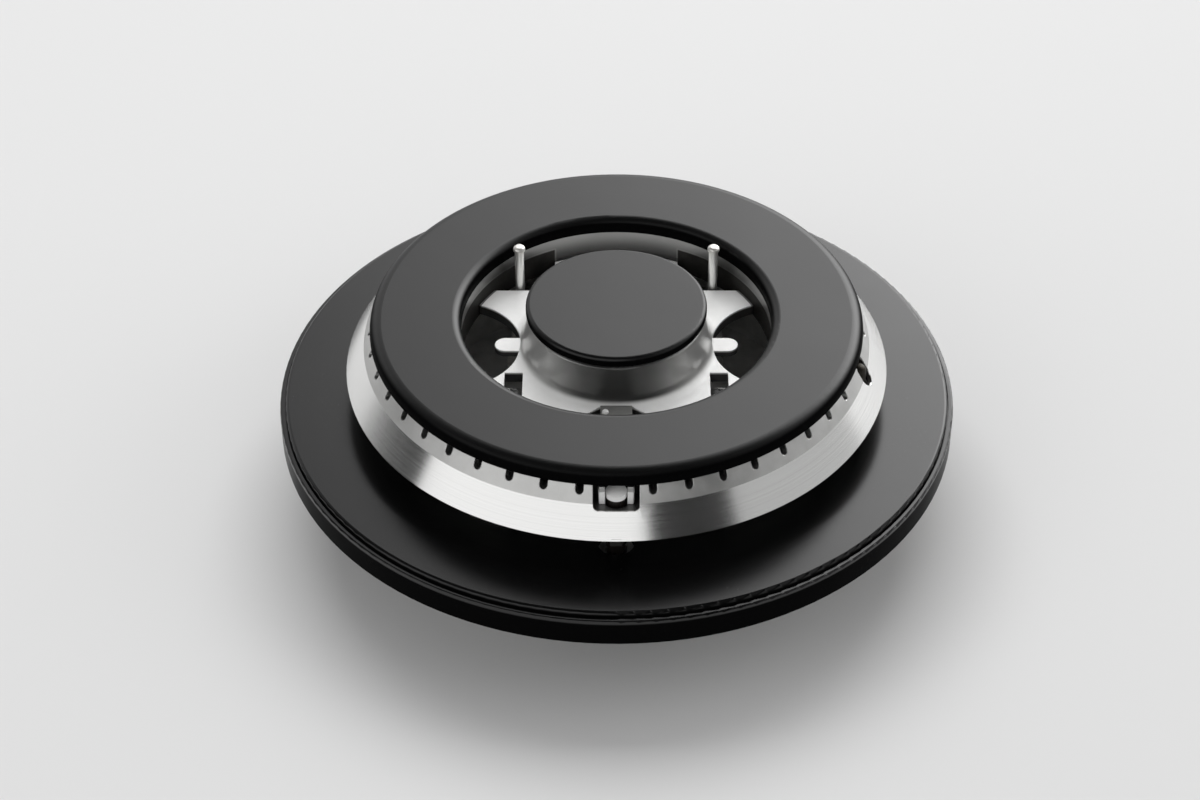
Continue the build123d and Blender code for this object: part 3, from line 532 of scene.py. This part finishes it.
# ---------------------------------------------------------------- Brass
# Free-cutting brass, turned bright and gone a little dull: the jets, the plugs in the ends of the
# manifold's bores, and the nuts of the two thermocouples.
def turned_lines(finish, pitch, detail=3.0, roughness=0.7):
    """Random fine lathe lines round an upright axis, about one per pitch in metres."""
    return finish.node("ShaderNodeTexNoise", {"noise_dimensions": "1D"}, {
        "W": finish.z, "Scale": 1 / pitch, "Detail": detail, "Roughness": roughness})


brass_finish = Finish("turned_brass", Metallic=1.0)
brass_tarnish = brass_finish.between(brass_finish.noise(0.004, detail=5.0, roughness=0.65), 0.4, 0.75)
brass_lines = turned_lines(brass_finish, 0.00018, detail=1.0, roughness=0.5)
brass_finish.link(
    Base_Color=brass_finish.blend(brass_tarnish, (0.76, 0.57, 0.26), (0.47, 0.32, 0.14)),
    Roughness=0.22 + 0.22 * brass_tarnish + 0.06 * brass_lines,
    Normal=brass_finish.bump(brass_lines, 0.00001))
dress(brass_finish, "inner_injector", "outer_injectors", "manifold_plugs", "thermocouple_nuts")


# ---------------------------------------------------------------- Ignition and flame sensing
# Glazed ceramic bodies with steel electrodes, and two thermocouples in steel sleeves. The outer plug's
# body is glazed near black as painted shade, where it stands under the skirt; the two posts behind the drum
# stand in the open and stay bright.
def glaze(name, colour, speckle, shine):
    """Glazed ceramic, a little wavy, with fine iron specks."""
    finish = Finish(name, IOR=1.52, Coat_Roughness=0.06)
    specks = finish.between(finish.noise(0.0005, detail=3.0, roughness=0.7), 0.62, 0.72)
    wave = finish.noise(0.004, detail=1.0)
    finish.link(
        Base_Color=finish.blend(specks, colour, speckle),
        Roughness=0.22 + 0.10 * wave + 0.2 * specks,
        Coat_Weight=shine - 0.6 * shine * specks,
        Normal=finish.bump(wave, 0.00006))
    return finish


def probe_steel(name, colour, stained, stain_top):
    """Drawn steel, stained by the flame above a height in metres."""
    finish = Finish(name, Metallic=0.85)
    heat = finish.between(finish.z + 0.002 * finish.noise(0.003, detail=3.0), stain_top - 0.006, stain_top)
    drawn = finish.noise(0.0004, detail=3.0)
    finish.link(
        Base_Color=finish.blend(heat, colour, stained),
        Roughness=0.26 + 0.14 * drawn + 0.12 * heat,
        Normal=finish.bump(drawn, 0.00001))
    return finish


dress(glaze("white_glaze", (0.82, 0.80, 0.75), (0.55, 0.48, 0.40), 0.8), "inner_spark_insulator")
# The outer insulator's near-black glaze is painted shade.
dress(glaze("shade_black_glaze", (0.010, 0.008, 0.007), (0.02, 0.016, 0.014), 0.1), "outer_spark_insulator")
dress(probe_steel("post_steel", (0.90, 0.90, 0.88), (0.84, 0.82, 0.78), 0.038),
      "inner_spark_electrode", "inner_thermocouple")
dress(probe_steel("stained_steel", (0.06, 0.056, 0.048), (0.035, 0.032, 0.026), 0.025), "outer_thermocouple")

# The outer plug's head top is painted near white, a painted highlight, and is shaded as if its top leaned to
# the front, to the light.
plug_head = probe_steel("matt_nickel", (0.50, 0.49, 0.47), (0.50, 0.49, 0.47), 0.0275)
head_foot, head_lean = 0.0250, 0.7
head_highlight_grain = plug_head.noise(0.0006)
plug_head.overlay(
    plug_head.between(plug_head.z, head_foot, head_foot + 0.0001), Metallic=0.0, IOR=1.3,
    Base_Color=plug_head.blend(head_highlight_grain, (0.92, 0.92, 0.91), (0.98, 0.98, 0.97)),
    Roughness=0.5 + 0.10 * head_highlight_grain,
    Normal=plug_head.bump(plug_head.y, head_lean))
dress(plug_head, "outer_spark_electrode")


# ---------------------------------------------------------------- Black base
# Pressed steel plate in satin black enamel, on a ring in the same black. The enamel is a glass that
# flowed: thick and smooth on the flat tops, thin and dull on the upright sides. Merged copies stand
# for both pieces, so that their rounded edges take the light evenly.
def enamel(name, roughness, peel, grain, flat_low, flat_high):
    """Fired black enamel, with its sheen above flat_high and none below flat_low."""
    finish = Finish(name, IOR=1.05)
    flow = finish.noise(0.010, detail=1.0)
    dust = finish.between(finish.noise(0.0009, detail=4.0, roughness=0.7), 0.55, 0.8)
    colour = finish.blend(dust, (0.002, 0.002, 0.0021), (0.005, 0.005, 0.0052))
    rough = roughness + 0.06 * (finish.noise(0.03, detail=3.0) - 0.5) + 0.05 * dust
    grained = finish.bump(finish.noise(0.00035), grain, finish.bump(flow, peel))
    finish.link(Base_Color=colour, Roughness=rough, Normal=grained)
    finish.overlay(finish.between(finish.z, flat_low, flat_high),
                   Base_Color=colour, Roughness=rough, Normal=grained, IOR=1.5)
    return finish


plate_enamel = enamel("plate_enamel", 0.24, 0.00001, 0.000003, flat_low=0.0080, flat_high=0.0086)
ring_enamel = enamel("ring_enamel", 0.22, 0.00001, 0.000003, flat_low=0.0062, flat_high=0.0068)
for name, slot, finish in (("base_plate", "black_enamel", plate_enamel),
                           ("base_ring", "black_ring", ring_enamel)):
    pressing = copy_of(name, "burner_base")
    settle(pressing)
    evening = pressing.modifiers.new("even", "WEIGHTED_NORMAL")
    evening.weight = 100
    evening.keep_sharp = True
    bpy.ops.object.modifier_apply(modifier="even")
    pressing.data.materials[0] = finish.material


# ---------------------------------------------------------------- Crown
# One aluminium casting that rests on the cup's pillars, grit-blasted pale all over. Its skirt is
# turned in a lathe; its drum and its openings carry grey and black painted shade, and some faces painted
# light.
crown_finish = Finish("crown_casting", Metallic=1.0)
between, crown_x, crown_y, crown_z = crown_finish.between, crown_finish.x, crown_finish.y, crown_finish.z
crown_radius = (crown_x * crown_x + crown_y * crown_y) ** 0.5
blast = crown_finish.noise(0.00035, detail=3.0, roughness=0.7)
blast_cloud = between(crown_finish.noise(0.010, detail=4.0, roughness=0.6), 0.3, 0.7)
crown_edge = crown_finish.node("ShaderNodeBevel", {"samples": 6}, {"Radius": 0.00035})
blasted = crown_finish.bump(blast, 0.00005, crown_edge)
crown_finish.link(
    Base_Color=crown_finish.blend(blast_cloud, (0.52, 0.52, 0.51), (0.62, 0.62, 0.61)),
    Roughness=0.33 + 0.08 * blast_cloud + 0.12 * (blast - 0.5),
    Normal=blasted)

# The bridge flange between drum and opening is blasted coarser, and painted paler as painted light, for the
# top light that falls on it.
opening_radius, flange_top = 0.041, 0.022
in_opening = between(crown_radius, opening_radius, opening_radius - 0.0003)
on_flange = in_opening * between(crown_z, flange_top + 0.0022, flange_top + 0.0006)
crown_finish.overlay(
    on_flange, Metallic=0.15, IOR=1.3,
    Base_Color=crown_finish.blend(blast_cloud, (0.88, 0.88, 0.87), (0.95, 0.95, 0.94)),
    Roughness=0.42 + 0.08 * blast_cloud + 0.14 * (blast - 0.5),
    Normal=blasted)

# Below its top the flange's sides, in the pockets and on the arms, are darkened as painted shade.
below_flange = in_opening * between(crown_z, flange_top - 0.0002, flange_top - 0.0007)
crown_finish.overlay(
    below_flange, Metallic=0.8, IOR=1.3,
    Base_Color=crown_finish.blend(blast_cloud, (0.12, 0.12, 0.118), (0.18, 0.18, 0.176)),
    Roughness=0.45 + 0.08 * blast_cloud,
    Normal=blasted)

# The drum is smoother, with painted shade: darkest at its front, towards the crossover in front of it, pale
# at its sides.
drum_reach, drum_front, drum_shade_end = 0.0270, -0.0250, -0.0140
on_drum = between(crown_radius, drum_reach + 0.0030, drum_reach) * between(
    crown_z, flange_top + 0.0004, flange_top + 0.0016)
crown_finish.overlay(
    on_drum, Metallic=0.6, IOR=1.3,
    Base_Color=crown_finish.blend(between(crown_y, drum_front, drum_shade_end),
                                  (0.055, 0.055, 0.054), (0.62, 0.62, 0.61)),
    Roughness=0.29 + 0.03 * blast_cloud + 0.06 * (blast - 0.5),
    Normal=crown_finish.bump(blast, 0.00002, crown_edge))


# The band with the flame slots and the skirt below it are cones, each by the height and radius of its
# top edge and by how much wider it gets on the way down.
def behind_cone(top, top_radius, lean):
    """How far a place lies behind the cone's face, in metres across."""
    return top_radius + lean * (top - crown_z) - crown_radius


band_top, band_top_radius, band_lean = 0.0291, 0.0647, 2.4 / 4.3
skirt_top, skirt_top_radius, skirt_lean = 0.0248, 0.0671, 5.0 / 7.6
behind_band = behind_cone(band_top, band_top_radius, band_lean)
behind_skirt = behind_cone(skirt_top, skirt_top_radius, skirt_lean)

# Painted shade, near black, in recesses and under parts: in the ignition window but for its front lip and
# the two faces of the spark plug's chimney, on the opening's wall below its rim and beside the bridges,
# on the chimney where it shows below the skirt, and in the thermocouple's notch.
fade = 0.0002
window_half_width, window_foot, window_back, window_floor_reach = 0.0058, 0.0234, -0.055, 0.0676
in_window = (between(abs(crown_x), window_half_width + fade, window_half_width)
             * between(crown_y, window_back, window_back - 0.003)
             * between(crown_z, window_foot - 0.0001, window_foot + 0.00005)
             * between(behind_band, 0.0001, 0.0003)
             * between(crown_radius, window_floor_reach + 0.0001, window_floor_reach))
chimney_half_width, chimney_front = 0.0044, -0.0650
on_chimney = (between(abs(crown_x), chimney_half_width + fade, chimney_half_width)
              * between(crown_y, chimney_front + 0.0005, chimney_front)
              * between(crown_z, window_foot + 0.0001, window_foot + 0.0003))
wall_shade_rim, bridge_half_width, wall_shade_reach = 0.0262, 0.0165, opening_radius + 0.0015
on_wall = (between(crown_radius, opening_radius - 0.0005, opening_radius)
           * between(crown_radius, wall_shade_reach + 0.0005, wall_shade_reach)
           * between(crown_z, wall_shade_rim, wall_shade_rim - 0.0008)
           * between(abs(crown_x), bridge_half_width, bridge_half_width + 0.0007))
skirt_foot, below_half_width, below_back = 0.0170, 0.0060, -0.060
below_skirt = (between(crown_z, skirt_foot + fade, skirt_foot)
               * between(abs(crown_x), below_half_width + fade, below_half_width)
               * between(crown_y, below_back, below_back - 0.001))
notch_turn, notch_half_width, notch_foot, notch_inner_x = radians(76), 0.0029, 0.0222, 0.058
across_notch = crown_x * cos(notch_turn) + crown_y * sin(notch_turn)
in_notch = (between(abs(across_notch), notch_half_width + fade, notch_half_width)
            * between(crown_x, notch_inner_x, notch_inner_x + 0.002)
            * between(crown_z, notch_foot - 0.0004, notch_foot - 0.0002)
            * between(behind_skirt, 0.00005, 0.00015))
recess_shade = in_window * (1 - on_chimney) + on_wall + below_skirt + in_notch
crown_finish.overlay(
    recess_shade, Metallic=0.6, IOR=1.2,
    Base_Color=crown_finish.blend(blast_cloud, (0.025, 0.024, 0.023), (0.05, 0.048, 0.045)),
    Roughness=0.55 + 0.10 * blast_cloud,
    Normal=blasted)

# The chimney's two faces are painted near white as painted light, and the opening's wall behind the drum
# is darkened as painted shade, more so towards its foot.
crown_finish.overlay(
    in_window * on_chimney, Metallic=0.2, IOR=1.3,
    Base_Color=crown_finish.blend(blast_cloud, (0.92, 0.92, 0.91), (0.97, 0.97, 0.96)),
    Roughness=0.4 + 0.08 * blast_cloud,
    Normal=blasted)
wall_middle, wall_half_depth = opening_radius + 0.0006, 0.0010
back_shade_foot, back_shade_top = 0.0235, 0.0290
back_wall = (between(abs(crown_radius - wall_middle), wall_half_depth + 0.0004, wall_half_depth)
             * between(crown_y, 0.000, 0.015) * (1 - on_wall))
crown_finish.overlay(
    back_wall, Metallic=1.0,
    Base_Color=crown_finish.blend(between(crown_z, back_shade_foot, back_shade_top),
                                  (0.13, 0.13, 0.128), (0.33, 0.33, 0.325)),
    Roughness=0.33 + 0.08 * blast_cloud,
    Normal=blasted)

# The skirt is bright, with the lathe's fine lines round it, which draw its highlights out upright.
on_skirt = between(abs(behind_skirt), 2 * fade, fade) * between(
    crown_z, skirt_top + 0.00008, skirt_top - 0.00002)
skirt_lines = turned_lines(crown_finish, 0.00040)
crown_finish.overlay(
    on_skirt, Metallic=1.0, Anisotropic=0.75, Anisotropic_Rotation=0.25,
    Base_Color=crown_finish.blend(skirt_lines, (0.76, 0.76, 0.75), (0.96, 0.96, 0.95)),
    Roughness=0.15 + 0.12 * skirt_lines,
    Normal=crown_finish.bump(skirt_lines, 0.000006))
dress(crown_finish, "crown")


# ---------------------------------------------------------------- Venturis
# Three mixing tubes of aluminium, turned from bar, pressed into the crown from below, each above its
# own jet.
tube_finish = Finish("turned_tube", Metallic=1.0)
tube_lines = turned_lines(tube_finish, 0.00025)
tube_finish.link(
    Base_Color=tube_finish.blend(tube_lines, (0.60, 0.60, 0.59), (0.74, 0.74, 0.73)),
    Roughness=0.24 + 0.14 * tube_lines,
    Normal=tube_finish.bump(tube_lines, 0.000012))
dress(tube_finish, "outer_venturis", "inner_venturi")


# ---------------------------------------------------------------- Crossover and hub flame ring
# A small cast strip before the drum, darker grey than the crown, held by two rivets, and the slotted
# ring of the inner burner under the small cap.
dress(cast_skin("bridge_casting", (0.30, 0.30, 0.29), 0.0005, 0.44), "crossover_bridge")
rivet_finish = Finish("bright_rivet", Metallic=0.3)
rivet_rub = rivet_finish.noise(0.0008, detail=3.0)
rivet_finish.link(
    Base_Color=rivet_finish.blend(rivet_rub, (0.90, 0.90, 0.89), (0.97, 0.97, 0.96)),
    Roughness=0.30 + 0.12 * rivet_rub)
dress(rivet_finish, "crossover_rivets")
dress(cast_skin("flame_ring", (0.50, 0.49, 0.47), 0.0004, 0.30), "hub_flame_ring")


# ---------------------------------------------------------------- Caps
# Two pressed steel caps in matt black enamel, fine-grained, that simply lie on the crown: the wide
# ring over the outer flames and the small round one over the inner flames.
dress(enamel("ring_cap_enamel", 0.36, 0.00002, 0.00001, flat_low=0.0318, flat_high=0.0329), "ring_cap")
dress(enamel("hub_cap_enamel", 0.36, 0.00002, 0.00001, flat_low=0.0351, flat_high=0.0358), "hub_cap")
